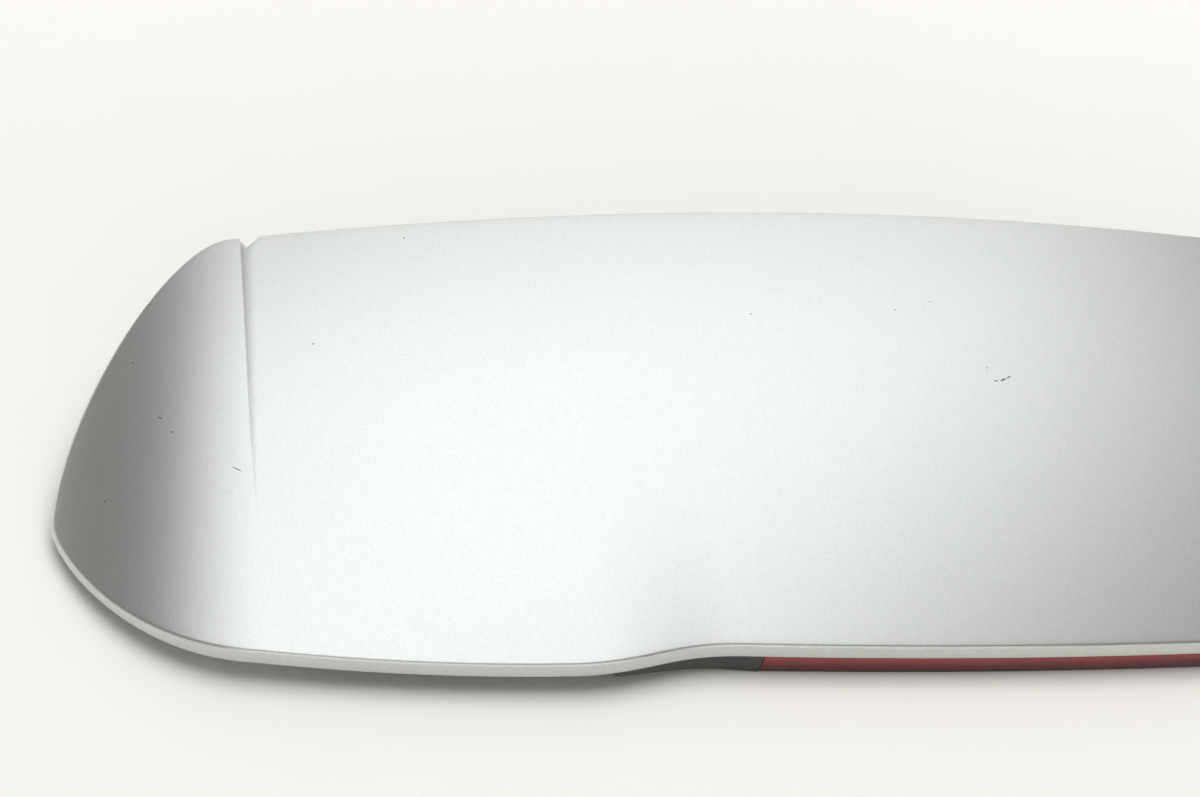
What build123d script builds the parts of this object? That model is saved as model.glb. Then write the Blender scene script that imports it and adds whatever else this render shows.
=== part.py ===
from build123d import *
import os
from math import radians, tan

# Rear roof spoiler of a large estate car, with a high stop lamp in its trailing edge.
# X runs across the car, +Y forward to the roof, +Z up from the surface that the part rests on.
# The origin is the middle of the footprint. Millimetres and degrees.

# Upper skin: overall form
WIDTH = 1194
DEPTH = 355
REAR_HEIGHT = 26
PITCH = 16
CAMBER = 9
FRONT_CROWN_RADIUS = 4500
REAR_CROWN_RADIUS = 20000
SHOULDER_FRONT = 481
SHOULDER_TAPER = 3
END_DROP = 29
LOBE_FLARE = 4
FLARE_POWER = 1.4
LOBE_LENGTH = 147
STEP_INNER = 176
STEP_OUTER = 262

# Upper skin: plan outline, with the lengths of its curves' handles
FRONT_CORNER_X = 492
FRONT_BOW = 17.6
FRONT_CORNER_HANDLE = 36
END_HANDLE = 84
TIP_Y = -44.5
TIP_HANDLE = 15
CORNER_X = 472
CORNER_HANDLE = 83
LOBE_X = 278
LOBE_RISE = 13.3
LOBE_OVERHANG = 10.5
RECESS_X = 170
RECESS_BOW = 3
STEP_HANDLE = 46.5

# Upper skin: wall, lip, and the fold and notch of each shoulder; the notch is measured from the leading edge
WALL = 3
LIP_HEIGHT = 9.5
TIP_LIP_HEIGHT = 4.5
LIP_TAPER_X = 490
FOLD_DEPTH = 1.1
FOLD_WIDTH = 11
FOLD_LEAST_WIDTH = 1
FOLD_OUT = 2.8
FOLD_END_Y = -66.5
NOTCH_INNER_X = 467.8
NOTCH_INNER = 15
NOTCH_ROOT_X = 478
NOTCH_ROOT = 26.5
NOTCH_OUTER_X = 484
NOTCH_OUTER = 16.2

# Lower skin: a tray bonded inside the upper skin, with a lamp pocket at the rear
TRAY_HALF = 452
TRAY_INSET = 14
TRAY_WALL = 2.5
BOND_GAP = 1.8
CONTACT_GAP = 0.3
FLOOR_Z = 9
DECK_Z = 30
RISER_Y = 15
POCKET_HALF = 252
POCKET_DEPTH = 84
POCKET_FLAT = 158
LIP_CLEARANCE = 0.4

# Seal between the leading edge and the roof
SEAL_HALF = 440
SEAL_LIP_GAP = 1
SEAL_WALL_GAP = 1
SEAL_THICKNESS = 10
SEAL_REAR_Y = 100

# Mounting studs, set in bosses on the tray's deck, each with a foam ring
STUD_RADIUS = 3
STUD_X = 330
STUD_Y = 85
STUD_SPACING_Y = 70
STUD_FLANGE_RADIUS = 9
STUD_FLANGE = 1.5
STUD_INSERT_RADIUS = 4.5
STUD_INSERT = 14
STUD_CHAMFER = 1
BOSS_WALL = 5
BOSS_CAP = 2
FIT = 0.1
RING_GAP = 1
RING_WIDTH = 7
RING_THICKNESS = 5

# Push-in clips near the tray's ends
CLIP_X = 425
CLIP_Y = 85
CLIP_NECK_RADIUS = 3.8
CLIP_HEAD_RADIUS = 9
CLIP_HEAD = 2
CLIP_SKIRT_RADIUS = 10
CLIP_SKIRT = 1.5
CLIP_STEM_RADIUS = 2
CLIP_STEM = 2
CLIP_BARB_RADIUS = 5
CLIP_BARB = 4.5
CLIP_BARB_COUNT = 4

# Stop lamp
LENS_HALF = 155
LENS_END_SLANT = 2
LENS_HEIGHT = 18
LENS_WALL = 2.5
LENS_FLANGE = 10
LENS_CLEARANCE = 0.5
HOUSING_HALF = 150
HOUSING_DEPTH = 61
HOUSING_WALL = 2
BOARD_THICKNESS = 1.6
BOARD_STANDOFF = 10
BOARD_CLEARANCE = 1
POST_WIDTH = 6
POST_X = 110
LED_COUNT = 14
LED_PITCH = 20
LED_WIDTH = 3.5
LED_HEIGHT = 3
LED_DEPTH = 2
SOCKET_WIDTH = 18
SOCKET_DEPTH = 14
SOCKET_WALL = 2
SOCKET_BOTTOM_Z = 0.8
SOCKET_ROOF = 3
GASKET_WIDTH = 3
PIN_SIZE = 0.8
PIN_SPACING = 6
PIN_END_GAP = 6
TAB_X = 120
TAB_WIDTH = 20
TAB_THICKNESS = 2.5
TAB_REACH = 24
SCREW_RADIUS = 1.75
SCREW_HEAD_RADIUS = 4
SCREW_HEAD = 2.5
SCREW_SOCKET_RADIUS = 1.5
SCREW_SOCKET = 1.2
TAB_BOSS_WALL = 2.5
TAB_BOSS = 6
SCREW_END_GAP = 1

# Limits of the blocks and cutters that the pieces are cut from
STATION_STEP = 20
ROW_COUNT = 9
FOLD_ROWS = 6
FOLD_LIFT = 0.1
INSET_STEPS = 8
MARGIN = 24
BLOCK_BOTTOM = -120
BLOCK_TOP = 200

FRONT_Y = DEPTH / 2
LOBE_Y = -DEPTH / 2
REAR_Y = LOBE_Y + LOBE_OVERHANG
CHORD = FRONT_Y - REAR_Y
TIP_X = WIDTH / 2
SIDES = (-1, 1)
BOTTOM = (Align.CENTER, Align.CENTER, Align.MIN)
TOWARDS_LENS = (Align.CENTER, Align.MAX, Align.CENTER)
FLOOR_TOP = FLOOR_Z + TRAY_WALL
DECK_TOP = DECK_Z + TRAY_WALL
POCKET_FRONT_Y = LOBE_Y + POCKET_DEPTH
POCKET_INSET = WALL + LIP_CLEARANCE
LENS_INNER_INSET = POCKET_INSET + LENS_WALL
LENS_FRONT_Y = REAR_Y + LENS_INNER_INSET + LENS_FLANGE
HOUSING_MID_Z = (TRAY_WALL + LENS_HEIGHT) / 2
HOUSING_ROOM = LENS_HEIGHT - TRAY_WALL - 2 * HOUSING_WALL
HOUSING_FRONT_Y = LOBE_Y + HOUSING_DEPTH
HOUSING_BACK_Y = HOUSING_FRONT_Y - HOUSING_WALL
BOARD_Y = HOUSING_BACK_Y - BOARD_STANDOFF
SOCKET_Y = HOUSING_FRONT_Y + SOCKET_DEPTH / 2
SCREW_Y = POCKET_FRONT_Y + TAB_REACH / 2
BOSS_RADIUS = STUD_INSERT_RADIUS + BOSS_WALL
RING_INNER_RADIUS = STUD_FLANGE_RADIUS + RING_GAP
CLIP_BARB_TOP = DECK_Z - CLIP_SKIRT - CLIP_STEM
stud_places = [
    (side * STUD_X, STUD_Y + row * STUD_SPACING_Y / 2) for side in SIDES for row in SIDES
]
clip_places = [(side * CLIP_X, CLIP_Y) for side in SIDES]
screw_places = [(side * TAB_X, SCREW_Y) for side in SIDES]


def smooth_step(t):
    t = min(max(t, 0), 1)
    return t * t * (3 - 2 * t)


def shoulder_x(y):
    """Distance from the centreline at which the end starts to fall away."""
    return SHOULDER_FRONT - (FRONT_Y - y) * tan(radians(SHOULDER_TAPER))


def skin_height(x, y):
    """Height of the upper skin's outer face."""
    along = (y - REAR_Y) / CHORD
    rise = (y - REAR_Y) * tan(radians(PITCH)) + 4 * CAMBER * along * (1 - along)
    curve = 1 / REAR_CROWN_RADIUS + (1 / FRONT_CROWN_RADIUS - 1 / REAR_CROWN_RADIUS) * along
    past = max(abs(x) - shoulder_x(y), 0)
    end = END_DROP * (past / (TIP_X - SHOULDER_FRONT)) ** 2
    reach = max(1 - (y - REAR_Y) / LOBE_LENGTH, 0)
    lobe = LOBE_FLARE * reach**FLARE_POWER * smooth_step((abs(x) - STEP_INNER) / (STEP_OUTER - STEP_INNER))
    return REAR_HEIGHT + rise - x * x / 2 * curve - end + lobe


def lip_height(x):
    """Height of the turned-down lip, less towards the tips."""
    past = smooth_step((abs(x) - LIP_TAPER_X) / (TIP_X - LIP_TAPER_X))
    return LIP_HEIGHT + (TIP_LIP_HEIGHT - LIP_HEIGHT) * past


def block_below(drop):
    """The right half of a block under the skin's outer face, with its top lowered by drop(x)."""
    count = round((TIP_X + MARGIN) / STATION_STEP)
    stations = [(TIP_X + MARGIN) * n / count for n in range(count + 1)]
    span = DEPTH + 2 * MARGIN
    rows = [LOBE_Y - MARGIN + span * n / (ROW_COUNT - 1) for n in range(ROW_COUNT)]
    with BuildPart() as block:
        for x in stations:
            with BuildSketch(Plane.YZ.offset(x)):
                with BuildLine():
                    top = Spline(*[(y, skin_height(x, y) - drop(x)) for y in rows])
                    Polyline(top @ 1, (rows[-1], BLOCK_BOTTOM), (rows[0], BLOCK_BOTTOM), top @ 0)
                make_face()
        loft(ruled=True, clean=False)
    return block.part


def plan_outline(inset=0):
    """Right half of the upper skin's plan, moved in by inset."""
    corner_y = FRONT_Y - FRONT_BOW
    corner_slope = 2 * FRONT_BOW / FRONT_CORNER_X
    rear_y = LOBE_Y + LOBE_RISE
    rear_slope = 2 * LOBE_RISE / (CORNER_X - LOBE_X)
    recess_y = REAR_Y + RECESS_BOW
    recess_slope = 2 * RECESS_BOW / RECESS_X
    leading_edge = [(0, FRONT_Y), (FRONT_CORNER_X / 2, FRONT_Y), (FRONT_CORNER_X, corner_y)]
    end = [
        (FRONT_CORNER_X, corner_y),
        (FRONT_CORNER_X + FRONT_CORNER_HANDLE, corner_y - FRONT_CORNER_HANDLE * corner_slope),
        (TIP_X, TIP_Y + END_HANDLE),
        (TIP_X, TIP_Y),
    ]
    rear_corner = [
        (TIP_X, TIP_Y),
        (TIP_X, TIP_Y - TIP_HANDLE),
        (CORNER_X + CORNER_HANDLE, rear_y + CORNER_HANDLE * rear_slope),
        (CORNER_X, rear_y),
    ]
    lobe = [(CORNER_X, rear_y), ((CORNER_X + LOBE_X) / 2, LOBE_Y), (LOBE_X, LOBE_Y)]
    step = [
        (LOBE_X, LOBE_Y),
        (LOBE_X - STEP_HANDLE, LOBE_Y),
        (RECESS_X + STEP_HANDLE, recess_y + STEP_HANDLE * recess_slope),
        (RECESS_X, recess_y),
    ]
    recess = [(RECESS_X, recess_y), (RECESS_X / 2, REAR_Y), (0, REAR_Y)]
    with BuildSketch() as plan:
        with BuildLine():
            for handles in (leading_edge, end, rear_corner, lobe, step, recess):
                curve = Bezier(*handles, mode=Mode.PRIVATE)
                shares = [n / INSET_STEPS for n in range(INSET_STEPS + 1)]
                inward = [(curve % t).rotate(Axis.Z, -90) * inset for t in shares]
                moved = [curve @ t + shift for t, shift in zip(shares, inward)]
                Spline(*moved, tangents=(curve % 0, curve % 1))
            Line((0, REAR_Y + inset), (0, FRONT_Y - inset))
        make_face()
    return plan.sketch


def plan_within(inset, half, rear=LOBE_Y, front=FRONT_Y):
    """The half plan moved in by inset and kept within half a width and a rear and front line."""
    moved = plan_outline(inset)
    with BuildSketch() as plan:
        add(moved)
        with Locations((0, rear)):
            Rectangle(half, front - rear, align=(Align.MIN, Align.MIN), mode=Mode.INTERSECT)
    return plan.sketch


def fold_cutter():
    """A bar whose lower side is the fold beside the right shoulder line, which fades rearwards."""
    span = FRONT_Y + MARGIN - FOLD_END_Y
    rows = [FOLD_END_Y + span * n / FOLD_ROWS for n in range(-1, FOLD_ROWS + 1)]
    with BuildPart() as cutter:
        for y in rows:
            share = max((y - FOLD_END_Y) / (FRONT_Y - FOLD_END_Y), 0)
            width = FOLD_LEAST_WIDTH + (FOLD_WIDTH - FOLD_LEAST_WIDTH) * share
            crease = shoulder_x(y) + FOLD_OUT
            bottom = []
            # A parabola: half-way out it has a quarter of its depth.
            for back, depth in ((width, 0), (width / 2, FOLD_DEPTH / 4), (0, FOLD_DEPTH)):
                x = crease - back
                bottom.append((x, skin_height(x, y) - share * depth + FOLD_LIFT * (1 - share)))
            with BuildSketch(Plane.XZ.offset(-y)):
                with BuildLine():
                    Polyline(*bottom, (bottom[-1][0], BLOCK_TOP), (bottom[0][0], BLOCK_TOP), close=True)
                make_face()
        loft(ruled=True)
    return cutter.part


def notch_plan():
    """Plan of the notch in the right half of the leading edge, where the shoulder meets it."""
    with BuildSketch() as plan:
        with BuildLine():
            Polyline(
                (NOTCH_INNER_X, FRONT_Y - NOTCH_INNER),
                (NOTCH_ROOT_X, FRONT_Y - NOTCH_ROOT),
                (NOTCH_OUTER_X, FRONT_Y - NOTCH_OUTER),
                (NOTCH_OUTER_X, FRONT_Y + MARGIN),
                (NOTCH_INNER_X, FRONT_Y + MARGIN),
                close=True,
            )
        make_face()
    return plan.sketch


def tray_space(plan, floor, deck, riser):
    """The space above a stepped floor, within a plan."""
    with BuildPart() as space:
        with BuildSketch():
            add(plan)
        extrude(amount=BLOCK_TOP)
        with BuildSketch(Plane.YZ):
            with BuildLine():
                Polyline(
                    (LOBE_Y, floor),
                    (riser, floor),
                    (riser, deck),
                    (FRONT_Y, deck),
                    (FRONT_Y, BLOCK_TOP),
                    (LOBE_Y, BLOCK_TOP),
                    close=True,
                )
            make_face()
        extrude(amount=TIP_X, both=True, mode=Mode.INTERSECT)
    return space.part


def pocket_space(plan, floor):
    """The space above the pocket's floor, which rises to the tray's at its ends, within a plan."""
    with BuildPart() as space:
        with BuildSketch():
            add(plan)
        extrude(amount=BLOCK_TOP)
        with BuildSketch(Plane.XZ):
            with BuildLine():
                Polyline(
                    (0, floor),
                    (POCKET_FLAT, floor),
                    (POCKET_HALF, floor + FLOOR_Z),
                    (POCKET_HALF, BLOCK_TOP),
                    (0, BLOCK_TOP),
                    close=True,
                )
            make_face()
        extrude(amount=DEPTH, both=True, mode=Mode.INTERSECT)
    return space.part


def lens_bar(clearance):
    """A bar along Y as wide and high as the lens, with its slanted ends."""
    half = LENS_HALF + clearance
    top = LENS_HEIGHT + clearance
    with BuildPart() as bar:
        with BuildSketch(Plane.XZ):
            with BuildLine():
                Polyline(
                    (-half, -MARGIN),
                    (-half, 0),
                    (LENS_END_SLANT - half, top),
                    (half - LENS_END_SLANT, top),
                    (half, 0),
                    (half, -MARGIN),
                    close=True,
                )
            make_face()
        extrude(amount=DEPTH, both=True)
    return bar.part


outer_block = block_below(lambda x: 0)
inner_block = block_below(lambda x: WALL)
contact_block = block_below(lambda x: WALL + CONTACT_GAP)
rim_block = block_below(lip_height)
bond_block = block_below(lambda x: WALL + BOND_GAP)
seal_block = block_below(lambda x: WALL + SEAL_THICKNESS)

# Upper skin: the painted shell, with its lip turned down all round and a notched fold on each shoulder
outline = plan_outline()
core_plan = plan_outline(WALL)
notch = notch_plan()
fold = fold_cutter()

with BuildSketch() as notch_room:
    add(notch)
    offset(amount=WALL, kind=Kind.INTERSECTION)

with BuildPart() as core:
    with BuildSketch():
        add(core_plan)
        add(notch_room.sketch, mode=Mode.SUBTRACT)
    extrude(amount=BLOCK_TOP)
    add(inner_block, mode=Mode.INTERSECT)

with BuildPart() as upper_skin:
    with BuildSketch():
        add(outline)
        add(notch, mode=Mode.SUBTRACT)
    extrude(amount=BLOCK_TOP)
    add(outer_block, mode=Mode.INTERSECT)
    add(fold, mode=Mode.SUBTRACT)
    add(core.part, mode=Mode.SUBTRACT)
    add(rim_block, mode=Mode.SUBTRACT)
    mirror(about=Plane.YZ)

# Lower skin: the stepped tray, its lamp pocket, bosses and openings
tray_plan = plan_within(TRAY_INSET, TRAY_HALF)
tray_hollow_plan = plan_within(TRAY_INSET + TRAY_WALL, TRAY_HALF - TRAY_WALL)
pocket_plan = plan_within(POCKET_INSET, POCKET_HALF, front=POCKET_FRONT_Y)
pocket_hollow_plan = plan_within(
    POCKET_INSET + TRAY_WALL, POCKET_HALF - TRAY_WALL, front=POCKET_FRONT_Y - TRAY_WALL
)
window_plan = plan_within(0, LENS_HALF + LENS_CLEARANCE, front=LENS_FRONT_Y + LENS_CLEARANCE)
tray = tray_space(tray_plan, FLOOR_Z, DECK_Z, RISER_Y)
tray_hollow = tray_space(tray_hollow_plan, FLOOR_TOP, DECK_TOP, RISER_Y - TRAY_WALL)
pocket = pocket_space(pocket_plan, 0)
pocket_hollow = pocket_space(pocket_hollow_plan, TRAY_WALL)
window_bar = lens_bar(LENS_CLEARANCE)

with BuildPart() as lens_window:
    with BuildSketch():
        add(window_plan)
    extrude(amount=BLOCK_TOP)
    add(window_bar, mode=Mode.INTERSECT)

with BuildPart() as lower_skin:
    add(tray)
    add(pocket)
    add(bond_block, mode=Mode.INTERSECT)
    add(tray_hollow, mode=Mode.SUBTRACT)
    add(pocket_hollow, mode=Mode.SUBTRACT)
    add(lens_window.part, mode=Mode.SUBTRACT)
    mirror(about=Plane.YZ)
    with Locations(*[(x, y, DECK_Z) for x, y in stud_places]):
        Cylinder(BOSS_RADIUS, STUD_INSERT + BOSS_CAP, align=BOTTOM)
        Cylinder(STUD_INSERT_RADIUS + FIT, STUD_INSERT, align=BOTTOM, mode=Mode.SUBTRACT)
    with Locations(*[(x, y, DECK_Z) for x, y in clip_places]):
        Cylinder(CLIP_NECK_RADIUS + FIT, TRAY_WALL, align=BOTTOM, mode=Mode.SUBTRACT)
    with Locations(*[(x, y, FLOOR_Z) for x, y in screw_places]):
        Cylinder(SCREW_RADIUS + FIT, TRAY_WALL, align=BOTTOM, mode=Mode.SUBTRACT)
    with Locations((0, SOCKET_Y, 0)):
        Box(
            SOCKET_WIDTH + 2 * GASKET_WIDTH,
            SOCKET_DEPTH + 2 * GASKET_WIDTH,
            TRAY_WALL,
            align=BOTTOM,
            mode=Mode.SUBTRACT,
        )

# Bead of adhesive between the two skins, on top of the tray's outer walls
with BuildPart() as bond_bead:
    with BuildSketch():
        add(tray_plan)
        add(pocket_plan)
        add(tray_hollow_plan, mode=Mode.SUBTRACT)
        add(pocket_hollow_plan, mode=Mode.SUBTRACT)
    extrude(amount=BLOCK_TOP)
    add(contact_block, mode=Mode.INTERSECT)
    add(bond_block, mode=Mode.SUBTRACT)
    mirror(about=Plane.YZ)

# Foam seal under the leading edge, between the lip and the tray
seal_plan = plan_within(WALL + SEAL_LIP_GAP, SEAL_HALF, rear=SEAL_REAR_Y)
seal_inner_plan = plan_within(TRAY_INSET - SEAL_WALL_GAP, TIP_X)

with BuildPart() as front_seal:
    with BuildSketch():
        add(seal_plan)
        add(seal_inner_plan, mode=Mode.SUBTRACT)
    extrude(amount=BLOCK_TOP)
    add(contact_block, mode=Mode.INTERSECT)
    add(seal_block, mode=Mode.SUBTRACT)
    mirror(about=Plane.YZ)

# Mounting studs: a shank, a flange under the deck and an insert in the boss
with BuildPart() as mounting_studs:
    with Locations(*stud_places):
        Cylinder(STUD_RADIUS, DECK_Z, align=BOTTOM)
    chamfer(mounting_studs.edges().group_by(Axis.Z)[0], STUD_CHAMFER)
    with Locations(*[(x, y, DECK_Z - STUD_FLANGE) for x, y in stud_places]):
        Cylinder(STUD_FLANGE_RADIUS, STUD_FLANGE, align=BOTTOM)
    with Locations(*[(x, y, DECK_Z) for x, y in stud_places]):
        Cylinder(STUD_INSERT_RADIUS, STUD_INSERT, align=BOTTOM)

# Foam rings around the studs' flanges
with BuildPart() as stud_gaskets:
    with BuildSketch(Plane.XY.offset(DECK_Z)):
        with Locations(*stud_places):
            Circle(RING_INNER_RADIUS + RING_WIDTH)
            Circle(RING_INNER_RADIUS, mode=Mode.SUBTRACT)
    extrude(amount=-RING_THICKNESS)

# Push-in clips: a head and a skirt either side of the deck, and barbs below
barbs = []
for n in range(CLIP_BARB_COUNT):
    barb_top = CLIP_BARB_TOP - n * CLIP_BARB
    barbs += [(CLIP_BARB_RADIUS, barb_top), (CLIP_STEM_RADIUS, barb_top - CLIP_BARB)]

with BuildPart() as clip:
    with BuildSketch(Plane.XZ):
        with BuildLine():
            Polyline(
                (0, DECK_TOP + CLIP_HEAD),
                (CLIP_HEAD_RADIUS, DECK_TOP + CLIP_HEAD),
                (CLIP_HEAD_RADIUS, DECK_TOP),
                (CLIP_NECK_RADIUS, DECK_TOP),
                (CLIP_NECK_RADIUS, DECK_Z),
                (CLIP_SKIRT_RADIUS, DECK_Z),
                (CLIP_SKIRT_RADIUS, DECK_Z - CLIP_SKIRT),
                (CLIP_STEM_RADIUS, DECK_Z - CLIP_SKIRT),
                (CLIP_STEM_RADIUS, CLIP_BARB_TOP),
                *barbs,
                (0, barbs[-1][1]),
                close=True,
            )
        make_face()
    revolve(axis=Axis.Z)

with BuildPart() as end_clips:
    with Locations(*clip_places):
        add(clip.part)

# Lamp lens: a curved strip with a flange along its foot
lens_plan = plan_within(POCKET_INSET, LENS_HALF, front=LENS_FRONT_Y)
lens_hollow_plan = plan_within(LENS_INNER_INSET, TIP_X)
lens_limits = lens_bar(0)

with BuildPart() as lamp_lens:
    with BuildSketch():
        add(lens_plan)
    extrude(amount=LENS_HEIGHT)
    with BuildSketch(Plane.XY.offset(TRAY_WALL)):
        add(lens_hollow_plan)
    extrude(amount=LENS_HEIGHT, mode=Mode.SUBTRACT)
    add(lens_limits, mode=Mode.INTERSECT)
    mirror(about=Plane.YZ)

# Lamp terminals: two bent pins from the circuit board into the socket
with BuildPart() as lamp_terminals:
    with Locations(*[(side * PIN_SPACING / 2, BOARD_Y, HOUSING_MID_Z) for side in SIDES]):
        Box(
            PIN_SIZE,
            SOCKET_Y - BOARD_Y + PIN_SIZE / 2,
            PIN_SIZE,
            align=(Align.CENTER, Align.MIN, Align.CENTER),
        )
    with Locations(*[(side * PIN_SPACING / 2, SOCKET_Y, HOUSING_MID_Z) for side in SIDES]):
        Box(
            PIN_SIZE,
            PIN_SIZE,
            HOUSING_MID_Z - SOCKET_BOTTOM_Z - PIN_END_GAP,
            align=(Align.CENTER, Align.CENTER, Align.MAX),
        )

# Lamp housing: a box open towards the lens, with posts, a socket and two fixing tabs
housing_plan = plan_within(LENS_INNER_INSET, HOUSING_HALF, front=HOUSING_FRONT_Y)

with BuildPart() as lamp_housing:
    with BuildSketch(Plane.XY.offset(TRAY_WALL)):
        add(housing_plan)
    extrude(amount=LENS_HEIGHT - TRAY_WALL)
    mirror(about=Plane.YZ)
    with Locations((0, HOUSING_BACK_Y, HOUSING_MID_Z)):
        Box(
            2 * (HOUSING_HALF - HOUSING_WALL),
            DEPTH,
            HOUSING_ROOM,
            align=TOWARDS_LENS,
            mode=Mode.SUBTRACT,
        )
    with Locations(*[(side * POST_X, HOUSING_BACK_Y, HOUSING_MID_Z) for side in SIDES]):
        Box(POST_WIDTH, BOARD_STANDOFF, HOUSING_ROOM, align=TOWARDS_LENS)
    with Locations((0, SOCKET_Y, SOCKET_BOTTOM_Z)):
        Box(SOCKET_WIDTH, SOCKET_DEPTH, LENS_HEIGHT - SOCKET_BOTTOM_Z, align=BOTTOM)
        Box(
            SOCKET_WIDTH - 2 * SOCKET_WALL,
            SOCKET_DEPTH - 2 * SOCKET_WALL,
            LENS_HEIGHT - SOCKET_BOTTOM_Z - SOCKET_ROOF,
            align=BOTTOM,
            mode=Mode.SUBTRACT,
        )
    with Locations(*[(side * TAB_X, HOUSING_FRONT_Y, FLOOR_TOP) for side in SIDES]):
        Box(
            TAB_WIDTH,
            POCKET_FRONT_Y + TAB_REACH - HOUSING_FRONT_Y,
            TAB_THICKNESS,
            align=(Align.CENTER, Align.MIN, Align.MIN),
        )
    with Locations(*[(x, y, FLOOR_TOP) for x, y in screw_places]):
        Cylinder(SCREW_RADIUS + TAB_BOSS_WALL, TAB_THICKNESS + TAB_BOSS, align=BOTTOM)
        Cylinder(SCREW_RADIUS, TAB_THICKNESS + TAB_BOSS, align=BOTTOM, mode=Mode.SUBTRACT)
    add(lamp_terminals.part, mode=Mode.SUBTRACT)

# Lamp circuit board, standing on the housing's posts
with BuildPart() as lamp_circuit_board:
    with Locations((0, BOARD_Y, HOUSING_MID_Z)):
        Box(
            2 * (HOUSING_HALF - HOUSING_WALL - BOARD_CLEARANCE),
            BOARD_THICKNESS,
            HOUSING_ROOM - 2 * BOARD_CLEARANCE,
            align=TOWARDS_LENS,
        )

# Lamp diodes in a row on the board's rear face
with BuildPart() as lamp_leds:
    with Locations((0, BOARD_Y - BOARD_THICKNESS, HOUSING_MID_Z)):
        with GridLocations(LED_PITCH, 1, LED_COUNT, 1):
            Box(LED_WIDTH, LED_DEPTH, LED_HEIGHT, align=TOWARDS_LENS)

# Foam gasket between the lamp's socket and the pocket floor
with BuildPart() as lamp_gasket:
    with BuildSketch(Plane.XY.offset(SOCKET_BOTTOM_Z)):
        with Locations((0, SOCKET_Y)):
            Rectangle(SOCKET_WIDTH + 2 * GASKET_WIDTH, SOCKET_DEPTH + 2 * GASKET_WIDTH)
            Rectangle(SOCKET_WIDTH, SOCKET_DEPTH, mode=Mode.SUBTRACT)
    extrude(amount=TRAY_WALL - SOCKET_BOTTOM_Z)

# Lamp screws, driven up through the tray's floor into the housing's tabs
with BuildPart() as lamp_screws:
    with Locations(*[(x, y, FLOOR_Z) for x, y in screw_places]):
        Cylinder(SCREW_RADIUS, TRAY_WALL + TAB_THICKNESS + TAB_BOSS - SCREW_END_GAP, align=BOTTOM)
    with Locations(*[(x, y, FLOOR_Z - SCREW_HEAD) for x, y in screw_places]):
        Cylinder(SCREW_HEAD_RADIUS, SCREW_HEAD, align=BOTTOM)
        Cylinder(SCREW_SOCKET_RADIUS, SCREW_SOCKET, align=BOTTOM, mode=Mode.SUBTRACT)

pieces = {
    "upper_skin": upper_skin,
    "lower_skin": lower_skin,
    "bond_bead": bond_bead,
    "front_seal": front_seal,
    "mounting_studs": mounting_studs,
    "stud_gaskets": stud_gaskets,
    "end_clips": end_clips,
    "lamp_lens": lamp_lens,
    "lamp_housing": lamp_housing,
    "lamp_circuit_board": lamp_circuit_board,
    "lamp_leds": lamp_leds,
    "lamp_terminals": lamp_terminals,
    "lamp_gasket": lamp_gasket,
    "lamp_screws": lamp_screws,
}
os.makedirs("parts", exist_ok=True)
for name, piece in pieces.items():
    piece.part.label = name
    export_step(piece.part, f"parts/{name}.step")
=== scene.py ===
import math
from functools import partial

import bmesh
import bpy
import numpy as np
from bpy.props import FloatProperty, FloatVectorProperty, IntProperty, PointerProperty
from mathutils import Matrix, Vector


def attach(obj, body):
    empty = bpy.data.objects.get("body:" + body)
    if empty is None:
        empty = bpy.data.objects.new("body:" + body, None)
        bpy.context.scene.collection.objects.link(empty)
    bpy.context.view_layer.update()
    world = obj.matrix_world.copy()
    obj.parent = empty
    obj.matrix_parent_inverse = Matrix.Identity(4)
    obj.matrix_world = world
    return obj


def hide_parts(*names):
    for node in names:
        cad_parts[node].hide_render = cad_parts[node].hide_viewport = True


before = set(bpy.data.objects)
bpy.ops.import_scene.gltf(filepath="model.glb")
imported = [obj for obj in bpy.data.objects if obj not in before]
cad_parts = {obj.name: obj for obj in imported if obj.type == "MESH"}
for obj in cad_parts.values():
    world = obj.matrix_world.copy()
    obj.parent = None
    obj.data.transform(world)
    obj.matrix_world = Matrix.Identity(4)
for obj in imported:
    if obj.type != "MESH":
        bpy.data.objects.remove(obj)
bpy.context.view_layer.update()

bl_info = {
    "name": "Rear spoiler",
    "version": (1, 0, 0),
    "blender": (4, 5, 0),
    "location": "View3D > Sidebar > Spoiler",
    "description": "Dresses the solids of a car's rear spoiler and sets it in a small studio",
    "category": "Object",
}

MM = 0.001
BODY = "root"

# Plan of the skin, right half, in metres: where its curves meet, from the leading edge round the
# tip to the trailing edge, and how long their handles are
FRONT_CORNER_X = 0.492
FRONT_BOW = 0.0176
FRONT_CORNER_HANDLE = 0.036
END_HANDLE = 0.084
TIP_Y = -0.0445
TIP_HANDLE = 0.015
CORNER_X = 0.472
CORNER_HANDLE = 0.083
LOBE_X = 0.278
LOBE_RISE = 0.0133
RECESS_X = 0.170
RECESS_BOW = 0.003
STEP_HANDLE = 0.0465
OUTLINE_SHARES = 700

# Corners of the notch where the shoulder meets the leading edge: their distances from the middle
# of the car and behind the foremost point of the skin
NOTCH = ((0.4678, 0.015), (0.478, 0.0265), (0.484, 0.0162))

# Mesh of the skin: columns and rows of its main field, columns of its ends, lengths of rim that an
# end's corners take up, distance from the outline, and tries at where a column meets the rim
MAIN_COLUMNS = 92
ROWS = 88
END_COLUMNS = 24
END_FRONT = 0.025
END_REAR = 0.030
RIM_INSET = 0.0065
EDGE_STEPS = 12

# Roundings of the rim: steps at the edge and at the lip's foot, radius of the foot, and the largest
# share of the lip that the edge's rounding takes
ROUND_STEPS = 8
SMALL_ROUND_STEPS = 3
LIP_ROUND = 0.0008
LIP_ROUND_SHARE = 0.42

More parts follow.
